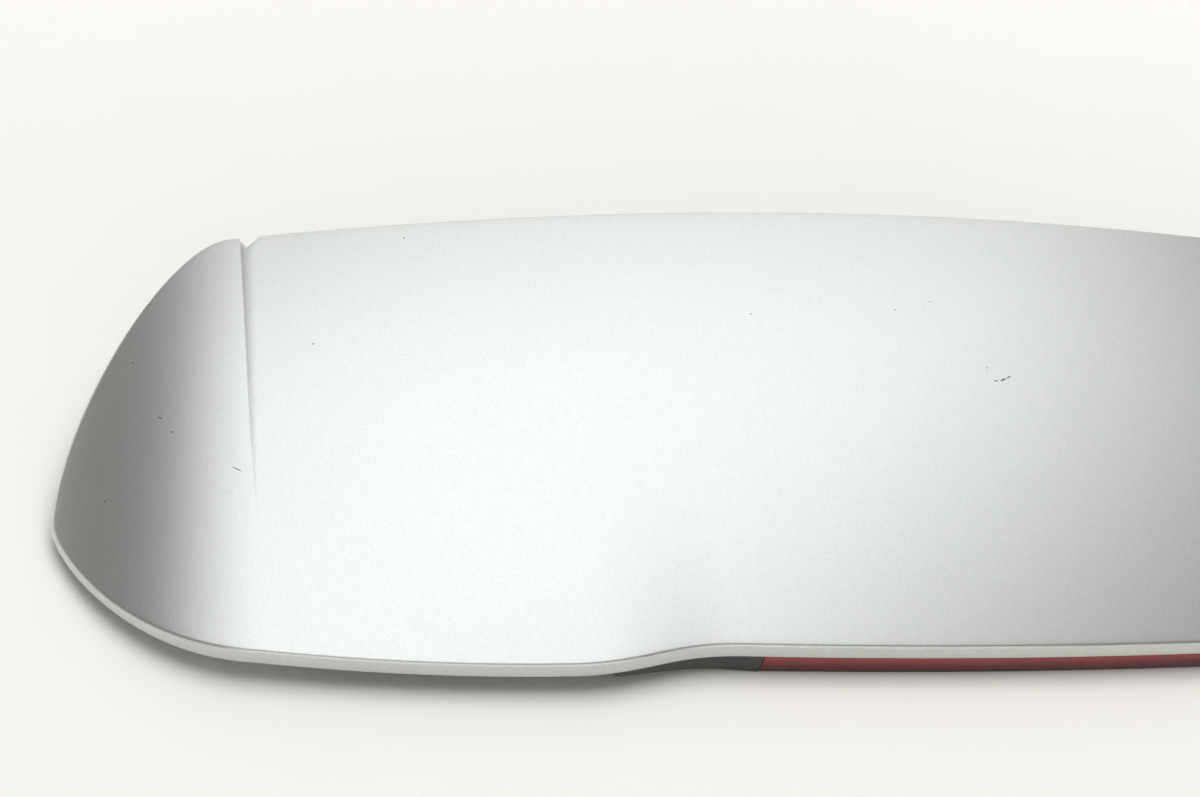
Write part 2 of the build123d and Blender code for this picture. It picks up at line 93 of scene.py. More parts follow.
# Fold beside the shoulder: its distance outside the shoulder line, its least width, the width of
# its step, and the mesh columns around it in millimetres
FOLD_OUT = 0.0028
FOLD_LEAST = 0.002
FOLD_STEP = 0.00015
FOLD_COLUMNS = (
    -17, -15, -13.5, -12, -11, -10, -9, -8, -7, -6, -5.2, -4.5, -3.8, -3.2, -2.6, -2, -1.5, -1,
    -0.6, -0.3, -0.05, 0.15, 0.5, 1, 1.6, 2.3, 3, 4, 5, 6, 7, 8.5, 10, 12, 14, 16, 18, 20, 22, 24,
    26, 29,
)


def linear(code):
    """Linear colour of an sRGB hex value."""
    shares = [int(code[n:n + 2], 16) / 255 for n in (0, 2, 4)]
    return tuple(v / 12.92 if v <= 0.04045 else ((v + 0.055) / 1.055) ** 2.4 for v in shares)


def setting(kind, name, description, default, **rest):
    """A property for a property group."""
    return kind(name=name, description=description, default=default, **rest)


amount = partial(setting, FloatProperty)
length = partial(setting, FloatProperty, unit="LENGTH", precision=4)
position = partial(setting, FloatVectorProperty, subtype="XYZ", unit="LENGTH")
extent = partial(setting, FloatVectorProperty, size=2, unit="LENGTH")


def angle(name, description, degrees):
    """An angle for a property group."""
    return amount(name, description, math.radians(degrees), subtype="ANGLE")


def colour(name, description, code):
    """A colour for a property group."""
    limits = {"subtype": "COLOR", "size": 3, "min": 0, "max": 1}
    return setting(FloatVectorProperty, name, description, linear(code), **limits)


class SpoilerSkinSizes(bpy.types.PropertyGroup):
    """Sizes of the painted upper skin"""

    width: length("Width", "Width across the car", 1.194)
    depth: length("Depth", "Depth along the car", 0.355)
    overhang: length("Lobe overhang", "How far the lobes stand behind the edge's middle", 0.0105)
    rear_height: length("Rear height", "Height of the trailing edge in the middle", 0.026)
    pitch: angle("Pitch", "Slope of the skin along the car", 16)
    camber: length("Camber", "Rise of the skin above its chord", 0.009)
    front_crown: length("Front crown", "Radius across the car at the leading edge", 4.5)
    rear_crown: length("Rear crown", "Radius across the car at the trailing edge", 20.0)
    shoulder: length("Shoulder", "Place of the shoulder across the car, at the leading edge", 0.481)
    shoulder_taper: angle("Shoulder taper", "Angle of the shoulder line", 3)
    end_drop: length("End drop", "Fall of the skin beyond the shoulder", 0.029)
    lobe_flare: length("Lobe flare", "Rise of the trailing edge beside the lamp", 0.004)
    flare_power: amount("Flare power", "How quickly that rise starts", 1.4)
    lobe_length: length("Lobe length", "Length of that rise along the car", 0.147)
    step_inner: length("Step start", "Where the edge starts to rise, across the car", 0.176)
    step_outer: length("Step end", "Where the edge has risen, across the car", 0.262)
    wall: length("Wall", "Thickness of the skin", 0.003)
    lip: length("Lip", "Height of the turned-down lip", 0.0095)
    tip_lip: length("Lip at the tips", "Height of the lip at the tips", 0.0045)
    lip_taper: length("Lip taper", "Where the lip starts to get lower, across the car", 0.49)
    lip_draft: angle("Lip draft", "Lean of the lip, as its mould needs", 5)
    edge_radius: length("Edge radius", "Rounding of the skin's edge", 0.0021)
    fold_depth: length("Fold depth", "Depth of the shoulder fold at the leading edge", 0.0011)
    fold_width: length("Fold width", "Width of the shoulder fold at the leading edge", 0.011)
    fold_end: length("Fold end", "Where the shoulder fold has run out, along the car", -0.08)


class SpoilerTrimSizes(bpy.types.PropertyGroup):
    """Sizes of the lamp's lens, the seals and the fixings"""

    lens_half: length("Lens half length", "Half the length of the lamp's lens", 0.155)
    lens_height: length("Lens height", "Height of the lens", 0.018)
    lens_wall: length("Lens wall", "Thickness of the lens", 0.0025)
    lens_inset: length("Lens inset", "Distance of the lens inside the skin's outline", 0.0034)
    lens_flange: length("Lens flange", "Depth of the lens's foot", 0.010)
    lens_slant: length("Lens slant", "Lean of the lens's ends", 0.002)
    flute_pitch: length("Flute pitch", "Spacing of the flutes inside the lens", 0.0031)
    flute_depth: length("Flute depth", "Depth of the flutes inside the lens", 0.0004)
    seal_half: length("Seal half length", "Half the length of the front seal", 0.44)
    stud_x: length("Stud spacing across", "Spacing of the studs across the car", 0.66)
    stud_y: length("Stud spacing along", "Spacing of the studs along the car", 0.07)
    fixing_y: length("Fixing place", "Middle of the fixings along the car", 0.085)
    clip_x: length("Clip spacing", "Spacing of the clips across the car", 0.85)
    thread_radius: length("Thread radius", "Outer radius of the studs' thread", 0.003)
    thread_pitch: length("Thread pitch", "Pitch of the studs' thread", 0.001)
    segments: setting(IntProperty, "Segments", "Sides of turned pieces", 28, min=8)


class SpoilerFinishes(bpy.types.PropertyGroup):
    """Colours of the finishes"""

    paint: colour("Paint", "Silver base coat", "C8CBC8")
    chip: colour("Chips", "Primer that shows in chips", "3B3A38")
    scratch: colour("Scratches", "Clear coat where it is scratched", "F3F3F3")
    plastic: colour("Grey plastic", "Moulded lower skin", "3E403F")
    lens: colour("Lens", "Red acrylic", "AE4C4E")
    # Painted shade: the colour of the lens's foot, a darker red near the table where shade falls
    lens_shaded_foot: colour("Lens foot", "Red acrylic where it is thick", "420606")
    foam: colour("Foam", "Closed-cell foam", "1E1E1D")
    adhesive: colour("Adhesive", "Cured bead between the skins", "151515")
    zinc: colour("Zinc", "Plated steel", "C9CAC4")
    nylon: colour("Nylon", "Push-in clips", "D9D5C6")
    housing: colour("Housing", "Lamp housing", "1A1A1B")
    board: colour("Board", "Solder resist on the circuit board", "1F5A34")
    diode: colour("Diode", "Cast diode bodies", "E4DDBE")
    brass: colour("Contacts", "Tinned brass pins", "C7AE6B")


class SpoilerStage(bpy.types.PropertyGroup):
    """Camera, floor and lights"""

    camera: position("Camera", "Place of the camera", (-0.4853, -0.9456, 0.8758))
    lens: amount("Focal length", "Focal length of the camera", 57.0, unit="CAMERA")
    turn: angle("Turn", "Heading of the view", 14.10)
    dip: angle("Dip", "Dip of the view", 38.91)
    roll: angle("Roll", "Roll of the view", 9.96)
    floor: colour("Floor", "Table and backdrop", "F3F1EC")
    far_lift: amount("Far lift", "Own brightness of the paper far away", 0.18)
    room: colour("Room", "Light of the room around the table", "565756")
    softbox_place: position("Softbox", "Place of the overhead softbox", (0.1, 0.4, 4.0))
    softbox_size: extent("Softbox size", "Width and length of the softbox", (6.6, 7.6))
    softbox_glow: amount("Softbox glow", "Brightness of the softbox", 1.94)
    panel_place: position("Panel", "Place of the front panel", (0.2, 3.3, 1.9))
    panel_size: extent("Panel size", "Width and height of the front panel", (5.0, 1.5))
    panel_glow: amount("Panel glow", "Brightness of the front panel", 1.0)
    near_place: position("Near panel", "Place of the panel behind the camera", (-0.2, -2.7, 1.4))
    near_size: extent("Near panel size", "Width and height of that panel", (3.2, 1.6))
    near_glow: amount("Near panel glow", "Brightness of that panel", 1.1)
    table_place: position("Table lamp", "Place of the table lamp", (0.2, 0.5, 4.0))
    table_size: extent("Table lamp size", "Width and length of the table lamp", (3.0, 3.2))
    table_glow: amount("Table lamp glow", "Brightness of the table lamp", 2.95)


def smooth_step(t):
    """A step from nought to one with soft ends."""
    t = np.clip(t, 0, 1)
    return t * t * (3 - 2 * t)


def carry_on(start, end, reach):
    """The point on the line from start that lies that far across the car beyond end."""
    return end + (end - start) * reach / abs(end[0] - start[0])


class Skin:
    """The upper skin's plan and height, from its sizes."""

    def __init__(self, sizes):
        self.sizes = sizes
        self.front = sizes.depth / 2
        self.rear = sizes.overhang - sizes.depth / 2
        self.tip = sizes.width / 2
        self.outline = self.sample_outline()
        turning = np.gradient(self.outline, axis=0)
        turning /= np.linalg.norm(turning, axis=1)[:, None]
        self.inward = np.stack([turning[:, 1], -turning[:, 0]], axis=1)
        self.inward[0] = (0, -1)
        self.inward[-1] = (0, 1)
        steps = np.linalg.norm(np.diff(self.outline, axis=0), axis=1)
        self.along = np.concatenate([[0], np.cumsum(steps)])
        self.tip_along = self.along[np.argmax(self.outline[:, 0])]
        # The notch is cut last, so that the rim keeps its direction across it
        notch_x, notch_depth = np.transpose(NOTCH)
        cut = np.interp(
            self.outline[:, 0], notch_x, self.front - notch_depth, left=np.inf, right=np.inf
        )
        leading = self.outline[:, 1] > 0
        self.outline[leading, 1] = np.minimum(self.outline[leading, 1], cut[leading])

    def sample_outline(self):
        """Points of the right half of the plan, from the leading edge to the trailing edge."""
        lobe_y = -self.sizes.depth / 2
        front = np.array((FRONT_CORNER_X / 2, self.front))
        front_corner = np.array((FRONT_CORNER_X, self.front - FRONT_BOW))
        rear = np.array(((CORNER_X + LOBE_X) / 2, lobe_y))
        rear_corner = np.array((CORNER_X, lobe_y + LOBE_RISE))
        inner = np.array((RECESS_X / 2, self.rear))
        recess = np.array((RECESS_X, self.rear + RECESS_BOW))
        tip, lobe = (self.tip, TIP_Y), (LOBE_X, lobe_y)
        past_front = carry_on(front, front_corner, FRONT_CORNER_HANDLE)
        past_rear = carry_on(rear, rear_corner, CORNER_HANDLE)
        past_recess = carry_on(inner, recess, STEP_HANDLE)
        curves = [
            [(0, self.front), front, front_corner],
            [front_corner, past_front, (self.tip, TIP_Y + END_HANDLE), tip],
            [tip, (self.tip, TIP_Y - TIP_HANDLE), past_rear, rear_corner],
            [rear_corner, rear, lobe],
            [lobe, (LOBE_X - STEP_HANDLE, lobe_y), past_recess, recess],
            [recess, inner, (0, self.rear)],
        ]
        shares = np.linspace(0, 1, OUTLINE_SHARES + 1)[:, None]
        points = [np.array([curves[0][0]])]
        for handles in curves:
            level = [np.ones_like(shares) * handle for handle in handles]
            while len(level) > 1:
                level = [a + shares * (b - a) for a, b in zip(level, level[1:])]
            points.append(level[0][1:])
        return np.concatenate(points)

    def at(self, along, inset):
        """Points of the outline at distances along it, moved in by inset."""
        columns = [np.interp(along, self.along, values) for values in self.outline.T]
        inward = [np.interp(along, self.along, values) for values in self.inward.T]
        return np.stack(columns, -1) + np.stack(inward, -1) * np.asarray(inset)[..., None]

    def along_at(self, x, inset, front):
        """Distances along the outline of the points at x on its leading or trailing edge."""
        edge = self.along <= self.tip_along if front else self.along > self.tip_along
        points = self.at(self.along[edge], np.full(edge.sum(), inset))
        order = np.argsort(points[:, 0])
        return np.interp(x, points[order, 0], self.along[edge][order])

    def edge_y(self, x, front):
        """The y of the leading or trailing edge at x."""
        return self.at(self.along_at(np.abs(x), 0, front), np.zeros_like(x))[..., 1]

    def shoulder_x(self, y):
        """Distance of the shoulder line from the middle of the car."""
        return self.sizes.shoulder - (self.front - y) * math.tan(self.sizes.shoulder_taper)

    def fold(self, x, y):
        """Depth of the shoulder fold: it falls softly outwards to a step, and fades rearwards."""
        s = self.sizes
        past = np.abs(x) - self.shoulder_x(y) - FOLD_OUT
        share = np.clip((y - s.fold_end) / (self.front - s.fold_end), 0, 1)
        fall = np.clip(1 + past / (FOLD_LEAST + (s.fold_width - FOLD_LEAST) * share), 0, 1)
        return s.fold_depth * share * fall**2 * np.clip(1 - past / FOLD_STEP, 0, 1)

    def height(self, x, y):
        """Height of the outer face, without the fold."""
        s = self.sizes
        chord = self.front - self.rear
        share = (y - self.rear) / chord
        rise = (y - self.rear) * math.tan(s.pitch) + 4 * s.camber * share * (1 - share)
        curve = 1 / s.rear_crown + (1 / s.front_crown - 1 / s.rear_crown) * share
        past = np.maximum(np.abs(x) - self.shoulder_x(y), 0)
        end = s.end_drop * (past / (self.tip - s.shoulder)) ** 2
        reach = np.maximum(1 - (y - self.rear) / s.lobe_length, 0)
        beside = smooth_step((np.abs(x) - s.step_inner) / (s.step_outer - s.step_inner))
        lobe = s.lobe_flare * reach**s.flare_power * beside
        return s.rear_height + rise - x * x / 2 * curve - end + lobe

    def lip(self, x):
        """Height of the lip, which gets lower towards the tips."""
        s = self.sizes
        lowered = smooth_step((np.abs(x) - s.lip_taper) / (self.tip - s.lip_taper))
        return s.lip + (s.tip_lip - s.lip) * lowered

    def right_grid(self):
        """The right half's plan points inside the rim, by column and row, with the distances
        along the outline of its leading, outer and trailing edges."""
        band = np.array(FOLD_COLUMNS) * MM
        inner = FOLD_OUT + band[0]
        shares = np.concatenate([np.linspace(0, 1, MAIN_COLUMNS + 1), np.ones(len(band) - 1)])
        offsets = np.concatenate([np.zeros(MAIN_COLUMNS), band - band[0]])
        edges = []
        for front, y in ((True, self.front), (False, self.rear)):
            y = np.full(len(shares), y)
            for _ in range(EDGE_STEPS):
                x = shares * (self.shoulder_x(y) + inner) + offsets
                along = self.along_at(x, RIM_INSET, front)
                y = self.at(along, RIM_INSET)[:, 1]
            edges.append((along, y))
        (front, front_y), (rear, rear_y) = edges
        rows = np.linspace(0, 1, ROWS + 1)
        y = rear_y[:, None] + rows * (front_y - rear_y)[:, None]
        x = shares[:, None] * (self.shoulder_x(y) + inner) + offsets[:, None]
        main = np.stack([x, y], -1)
        # The end is a patch between the last column and the rim around it
        front_end = front[-1] + np.linspace(0, END_FRONT, END_COLUMNS + 1)
        rear_end = rear[-1] - np.linspace(0, END_REAR, END_COLUMNS + 1)
        outer_edge = np.linspace(front_end[-1], rear_end[-1], ROWS + 1)
        near, far = main[-1][None], self.at(outer_edge[::-1], RIM_INSET)[None]
        low, high = (self.at(edge, RIM_INSET)[:, None] for edge in (rear_end, front_end))
        u = np.linspace(0, 1, END_COLUMNS + 1)[:, None, None]
        v = rows[None, :, None]
        patch = (1 - u) * near + u * far + (1 - v) * low + v * high
        patch -= (1 - u) * ((1 - v) * low[:1] + v * high[:1])
        patch -= u * ((1 - v) * low[-1:] + v * high[-1:])
        grid = np.concatenate([main, patch[1:]])
        leading, trailing = (
            np.concatenate([edge, end[1:]]) for edge, end in ((front, front_end), (rear, rear_end))
        )
        return grid, leading, outer_edge, trailing

    def rim_profile(self, rim):
        """Section of the rim at points of the outline, as insets and drops from the outer face:
        its rounded edge, the leaning lip, the lip's rounded foot and its inner side."""
        s = self.sizes
        fold = self.fold(rim[:, 0], rim[:, 1])
        lip = np.maximum(self.lip(rim[:, 0]), fold + s.wall + 2 * LIP_ROUND)
        radius = np.minimum(s.edge_radius, LIP_ROUND_SHARE * (lip - fold))
        full = np.linspace(0, math.pi / 2 - s.lip_draft, ROUND_STEPS + 1)
        small = np.linspace(0, math.pi / 2, SMALL_ROUND_STEPS + 1)
        straight = lip - LIP_ROUND - fold - radius * (1 - math.cos(full[-1]))
        outer = straight * math.tan(s.lip_draft) + radius * math.sin(full[-1])
        edge = [(outer - radius * math.sin(a), fold + radius * (1 - math.cos(a))) for a in full]
        bends = [(LIP_ROUND * (1 - math.cos(a)), LIP_ROUND * (1 - math.sin(a))) for a in small]
        foot = [(inset, lip - drop) for inset, drop in bends]
        foot += [(s.wall - inset, lip - drop) for drop, inset in bends]
        inside = [(s.wall + LIP_ROUND * n, fold + s.wall + LIP_ROUND * (1 - n)) for n in (0, 1)]
        return edge + foot + inside

    def mesh(self):
        """Points and faces of the closed skin: outer face, rim and inner face."""
        right, front, end, rear = self.right_grid()
        plan = np.concatenate([right[:0:-1] * (-1, 1), right])
        columns, rows = plan.shape[:2]
        x, y = plan[..., 0], plan[..., 1]
        top = np.stack([x, y, self.height(x, y) - self.fold(x, y)], -1).reshape(-1, 3)
        index = np.arange(columns * rows).reshape(columns, rows)
        middle = columns // 2
        right_edge, left_edge = (
            np.concatenate([half[middle:, -1], half[-1, -2::-1], half[-2:middle - 1:-1, 0]])
            for half in (index, index[::-1])
        )
        edge = np.concatenate([right_edge, left_edge[-2:0:-1]])
        along = np.concatenate([front, end[1:], rear[-2::-1]])
        points, loops = [top], [edge]
        count = len(top)
        for inset, drop in self.rim_profile(self.at(along, 0)):
            place = self.at(along, np.broadcast_to(inset, along.shape))
            half = np.column_stack([place, self.height(place[:, 0], place[:, 1]) - drop])
            ring = np.concatenate([half, half[-2:0:-1] * (-1, 1, 1)])
            loops.append(np.arange(count, count + len(ring)))
            points.append(ring)
            count += len(ring)
        points.append(top - (0, 0, self.sizes.wall))
        loops.append(edge + count)
        corners = [index[:-1, :-1], index[1:, :-1], index[1:, 1:], index[:-1, 1:]]
        quads = np.stack(corners, -1).reshape(-1, 4)
        faces = [quads, quads[:, ::-1] + count]
        for a, b in zip(loops, loops[1:]):
            faces.append(np.stack([a, np.roll(a, -1), np.roll(b, -1), b], -1))
        return np.concatenate(points), np.concatenate(faces)


def add_piece(name, points, faces, material):
    """A mesh object of those points and faces, smooth, with its place in its mesh."""
    mesh = bpy.data.meshes.new(name)
    places = [tuple(p) for p in np.asarray(points).tolist()]
    mesh.from_pydata(places, [], [tuple(f) for f in faces])
    shell = bmesh.new()
    shell.from_mesh(mesh)
    bmesh.ops.recalc_face_normals(shell, faces=shell.faces)
    shell.to_mesh(mesh)
    shell.free()
    mesh.shade_smooth()
    mesh.materials.append(material)
    piece = bpy.data.objects.new(name, mesh)
    bpy.context.scene.collection.objects.link(piece)
    return piece


def stand_for(piece, slot, *nodes):
    """The piece rides on the part and replaces those solids; the slot is not used."""
    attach(piece, BODY)
    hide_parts(*nodes)


def dress(material, node):
    """Gives the solid of a node a finish."""
    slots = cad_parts[node].data.materials
    slots.clear()
    slots.append(material)


def swept(rings, looped=False, capped=True):
    """Points and faces of closed sections joined in turn, round a loop or with flat ends, of which
    the last may stay open."""
    size = len(rings[0])
    points = np.concatenate(rings)
    count = len(points)
    faces = []
    for near in range(0, count if looped else count - size, size):
        far = (near + size) % count
        for k in range(size):
            j = (k + 1) % size
            faces.append((near + k, near + j, far + j, far + k))
    if not looped:
        faces.append(tuple(range(size - 1, -1, -1)))
    if capped and not looped:
        faces.append(tuple(range(count - size, count)))
    return points, faces


def turned(profile, segments, **ends):
    """Points and faces of a piece turned about Z. A profile point is a radius, or a function of
    the angle that gives one, and a height, from the bottom upwards."""
    angles = [2 * math.pi * n / segments for n in range(segments)]
    rings = []
    for radius, z in profile:
        reach = radius if callable(radius) else lambda a, r=radius: r
        rings.append([(reach(a) * math.cos(a), reach(a) * math.sin(a), z) for a in angles])
    return swept(rings, **ends)


def add_node(tree, kind, inputs=None, to=None, **settings):
    """Adds a node with its settings. Inputs are values or other nodes' sockets, and the socket that
    its first output goes to may be given."""
    made = tree.nodes.new(kind)
    for key, value in settings.items():
        setattr(made, key, value)
    for key, value in (inputs or {}).items():
        if isinstance(value, bpy.types.NodeSocket):
            tree.links.new(value, made.inputs[key])
        else:
            made.inputs[key].default_value = value
    if to is not None:
        tree.links.new(made.outputs[0], to)
    return made


REPEAT_TREE = "Repeat on a grid"
REPEAT_SHARP = math.radians(32)


def repeating_tree():
    """Geometry nodes that repeat a prototype on a grid of places."""
    tree = bpy.data.node_groups.new(REPEAT_TREE, "GeometryNodeTree")
    for name, kind in {
        "Prototype": "Object", "Count X": "Int", "Count Y": "Int", "Size X": "Float",
        "Size Y": "Float", "Centre": "Vector", "Material": "Material",
    }.items():
        tree.interface.new_socket(name, in_out="INPUT", socket_type="NodeSocket" + kind)
    tree.interface.new_socket("Geometry", in_out="OUTPUT", socket_type="NodeSocketGeometry")
    given = add_node(tree, "NodeGroupInput").outputs
    grid = add_node(tree, "GeometryNodeMeshGrid", {
        "Size X": given["Size X"], "Size Y": given["Size Y"],
        "Vertices X": given["Count X"], "Vertices Y": given["Count Y"],
    })
    places = add_node(tree, "GeometryNodeTransform", {
        "Geometry": grid.outputs["Mesh"], "Translation": given["Centre"],
    })
    one = add_node(tree, "GeometryNodeObjectInfo", {
        "Object": given["Prototype"], "As Instance": True,
    })
    many = add_node(tree, "GeometryNodeInstanceOnPoints", {
        "Points": places.outputs["Geometry"], "Instance": one.outputs["Geometry"],
    })
    real = add_node(tree, "GeometryNodeRealizeInstances", {"Geometry": many.outputs["Instances"]})
    finished = add_node(tree, "GeometryNodeSetMaterial", {
        "Geometry": real.outputs["Geometry"], "Material": given["Material"],
    })
    add_node(tree, "NodeGroupOutput", {"Geometry": finished.outputs["Geometry"]})
    return tree


def repeat(name, shape, counts, size, centre, material):
    """A plain mesh object of a shape repeated on a grid."""
    tree = bpy.data.node_groups.get(REPEAT_TREE) or repeating_tree()
    prototype = add_piece(name + "_one", *shape, material)
    host = add_piece(name + "_places", [(0, 0, 0)], [], material)
    modifier = host.modifiers.new("Repeat", "NODES")
    modifier.node_group = tree
    given = {
        "Prototype": prototype, "Count X": counts[0], "Count Y": counts[1],
        "Size X": size[0], "Size Y": size[1], "Centre": centre, "Material": material,
    }
    for socket in tree.interface.items_tree:
        if socket.in_out == "INPUT":
            modifier[socket.identifier] = given[socket.name]
    depsgraph = bpy.context.evaluated_depsgraph_get()
    mesh = bpy.data.meshes.new_from_object(host.evaluated_get(depsgraph))
    if not mesh.polygons:
        raise RuntimeError(name + " has no faces")
    host.modifiers.remove(modifier)
    for spare in (host, prototype):
        bpy.data.objects.remove(spare)
    mesh.name = name
    mesh.set_sharp_from_angle(angle=REPEAT_SHARP)
    piece = bpy.data.objects.new(name, mesh)
    bpy.context.scene.collection.objects.link(piece)
    return piece


# Sockets of a Mix node that mixes colours
MIX_FIRST = 6
MIX_SECOND = 7
MIXED = 2


def new_material(name, finish):
    """A material with its node tree, its shader's sockets and Object coordinates. The finish gives
    the values that are the same all over the surface."""
    made = bpy.data.materials.new(name)
    made.use_nodes = True
    tree = made.node_tree
    shader = tree.nodes["Principled BSDF"].inputs
    for key, value in finish.items():
        shader[key].default_value = value
    place = add_node(tree, "ShaderNodeTexCoord").outputs["Object"]
    return made, tree, shader, place


def per_mm(size):
    """Texture scale whose cells are that many millimetres wide."""
    return 1 / (size * MM)


def tint(tree, shader, base, pattern, low, high):
    """Base colour that drifts between two levels of itself with a pattern."""
    level = add_node(tree, "ShaderNodeMapRange", {"Value": pattern, "To Min": low, "To Max": high})
    add_node(tree, "ShaderNodeVectorMath", {
        0: base, "Scale": level.outputs[0],
    }, shader["Base Color"], operation="SCALE")


def clouded(name, base, size, detail, levels, finish):
    """A material whose colour drifts between two levels of itself with a noise, whose clouds are
    that many millimetres wide."""
    made, tree, shader, place = new_material(name, finish)
    cloud = add_node(tree, "ShaderNodeTexNoise", {
        "Vector": place, "Scale": per_mm(size), "Detail": detail,
    }).outputs["Fac"]
    tint(tree, shader, tuple(base), cloud, *levels)
    return made, tree, shader, place, cloud


# Small marks on the paint: place in mm, half length and half width in mm, angle in degrees
CHIPS = (
    (42.5, 26.5, 3.4, 0.9, 24),
    (37.0, 25.4, 2.2, 0.6, 8),
    (47.2, 28.7, 2.6, 0.7, 30),
    (32.7, 36.0, 0.9, 0.6, 0),
    (-25.2, 84.4, 0.9, 0.6, 20),
    (2.7, 92.4, 0.7, 0.6, 0),
    (-131.5, 78.9, 0.9, 0.7, 0),
    (-433.7, 58.1, 0.9, 0.8, 0),
    (-369.4, 152.2, 1.0, 0.8, 0),
    (-531.4, 9.2, 2.6, 0.45, -42),
    (-523.4, -3.8, 1.8, 0.45, -35),
    (-482.1, -38.5, 5.0, 0.45, -33),
    (-550.8, 60.6, 0.8, 0.6, 0),
    (-563.4, -43.0, 0.8, 0.7, 0),
)
SCRATCHES = ((-552.0, -8.8, 4.4, 0.35, 92), (139.0, 64.1, 6.5, 0.4, -47))

# Where a mark starts and where it shows in full, from its rim at 0 to its middle at 1, and how
# strongly a scratch shows
MARK_RIM = 0.05
MARK_FULL = 0.5
SCRATCH_SHOW = 0.35


def marks(tree, place, spots):
    """A factor that is one inside small oval spots and nought elsewhere."""
    total = None
    for x, y, long, wide, turn in spots:
        local = add_node(tree, "ShaderNodeMapping", {
            "Vector": place,
            "Location": (x * MM, y * MM, 0),
            "Rotation": (0, 0, math.radians(turn)),
            "Scale": (long * MM, wide * MM, 1),
        }, vector_type="TEXTURE")
        spot = add_node(tree, "ShaderNodeTexGradient", {
            "Vector": local.outputs[0],
        }, gradient_type="SPHERICAL").outputs["Fac"]
        total = spot if total is None else add_node(
            tree, "ShaderNodeMath", {0: total, 1: spot}, operation="MAXIMUM"
        ).outputs[0]
    edge = add_node(tree, "ShaderNodeMapRange", {
        "Value": total, "From Min": MARK_RIM, "From Max": MARK_FULL,
    })
    return edge.outputs["Result"]


def silver_paint(finishes):
    """Silver two-coat car paint on moulded ABS, sprayed: aluminium flakes give a grey sparkle that
    fades away from the light, and the clear coat over them gives sharp, weak reflections."""
    made, tree, shader, place = new_material("Silver metallic paint under clear coat", {
        "Metallic": 0.85, "Roughness": 0.36,
        "Coat Weight": 1.0, "Coat Roughness": 0.03, "Coat IOR": 1.5,
    })
    # Real flakes are about 0.05 mm; they are drawn 0.9 mm wide, so that they show in the picture
    flakes = add_node(tree, "ShaderNodeTexVoronoi", {"Vector": place, "Scale": per_mm(0.9)})
    shade = add_node(tree, "ShaderNodeSeparateColor", {"Color": flakes.outputs["Color"]}).outputs
    cloud = add_node(tree, "ShaderNodeTexNoise", {
        "Vector": place, "Scale": per_mm(140), "Detail": 2.0,
    })
    sparkle = add_node(tree, "ShaderNodeMapRange", {
        "Value": shade["Red"], "To Min": 0.95, "To Max": 1.04,
    })
    drift = add_node(tree, "ShaderNodeMapRange", {
        "Value": cloud.outputs["Fac"], "To Min": 0.985, "To Max": 1.015,
    })
    level = add_node(tree, "ShaderNodeMath", {
        0: sparkle.outputs[0], 1: drift.outputs[0],
    }, operation="MULTIPLY")
    base = add_node(tree, "ShaderNodeVectorMath", {
        0: tuple(finishes.paint), "Scale": level.outputs[0],
    }, operation="SCALE")
    chipped = add_node(tree, "ShaderNodeMix", {
        "Factor": marks(tree, place, CHIPS),
        MIX_FIRST: base.outputs[0], MIX_SECOND: (*finishes.chip, 1),
    }, data_type="RGBA")
    pale = add_node(tree, "ShaderNodeMath", {
        0: marks(tree, place, SCRATCHES), 1: SCRATCH_SHOW,
    }, operation="MULTIPLY")
    scratched = add_node(tree, "ShaderNodeMix", {
        "Factor": pale.outputs[0],
        MIX_FIRST: chipped.outputs[MIXED], MIX_SECOND: (*finishes.scratch, 1),
    }, data_type="RGBA")
    tree.links.new(scratched.outputs[MIXED], shader["Base Color"])
    add_node(tree, "ShaderNodeBump", {
        "Strength": 0.06, "Distance": 0.1 * MM, "Height": shade["Green"],
    }, shader["Normal"])
    return made


# How far the sheen of grained plastic varies around its roughness
GRAIN_SHEEN = 0.06


def grained_plastic(name, base, grain, roughness):
    """Moulded ABS with a fine spark-eroded grain: a soft, even sheen with no clear reflection."""
    made, tree, shader, place, _ = clouded(name, base, 60, 2.0, (0.9, 1.1), {})
    cells = add_node(tree, "ShaderNodeTexNoise", {
        "Vector": place, "Scale": per_mm(grain), "Detail": 3.0,
    }).outputs["Fac"]
    add_node(tree, "ShaderNodeMapRange", {
        "Value": cells, "To Min": roughness - GRAIN_SHEEN, "To Max": roughness + GRAIN_SHEEN,
    }, shader["Roughness"])
    add_node(tree, "ShaderNodeBump", {
        "Strength": 0.25, "Distance": 0.15 * MM, "Height": cells,
    }, shader["Normal"])
    return made


# Heights in millimetres between which the lens's red goes from deep to pale: painted shade, darkest
# at the foot by the table
LENS_SHADE_FULL = 1
LENS_SHADE_GONE = 12


def red_acrylic(finishes):
    """Red acrylic, injection moulded and clear: light goes in and comes back red, and the polished
    face mirrors the table. Painted shade darkens the red towards the foot."""
    made, tree, shader, place = new_material("Clear red acrylic", {
        "Roughness": 0.08, "IOR": 1.49, "Transmission Weight": 0.35,
    })
    cloud = add_node(tree, "ShaderNodeTexNoise", {
        "Vector": place, "Scale": per_mm(25), "Detail": 1.0,
    })
    # Painted shade: the red gets darker from the lens's top down to its foot at the table
    tall = add_node(tree, "ShaderNodeSeparateXYZ", {0: place}).outputs["Z"]
    shade_fade = add_node(tree, "ShaderNodeMapRange", {
        "Value": tall, "From Min": LENS_SHADE_FULL * MM, "From Max": LENS_SHADE_GONE * MM,
    })
    red = add_node(tree, "ShaderNodeMix", {
        "Factor": shade_fade.outputs[0],
        MIX_FIRST: (*finishes.lens_shaded_foot, 1), MIX_SECOND: (*finishes.lens, 1),
    }, data_type="RGBA")
    tint(tree, shader, red.outputs[MIXED], cloud.outputs["Fac"], 0.92, 1.08)
    return made


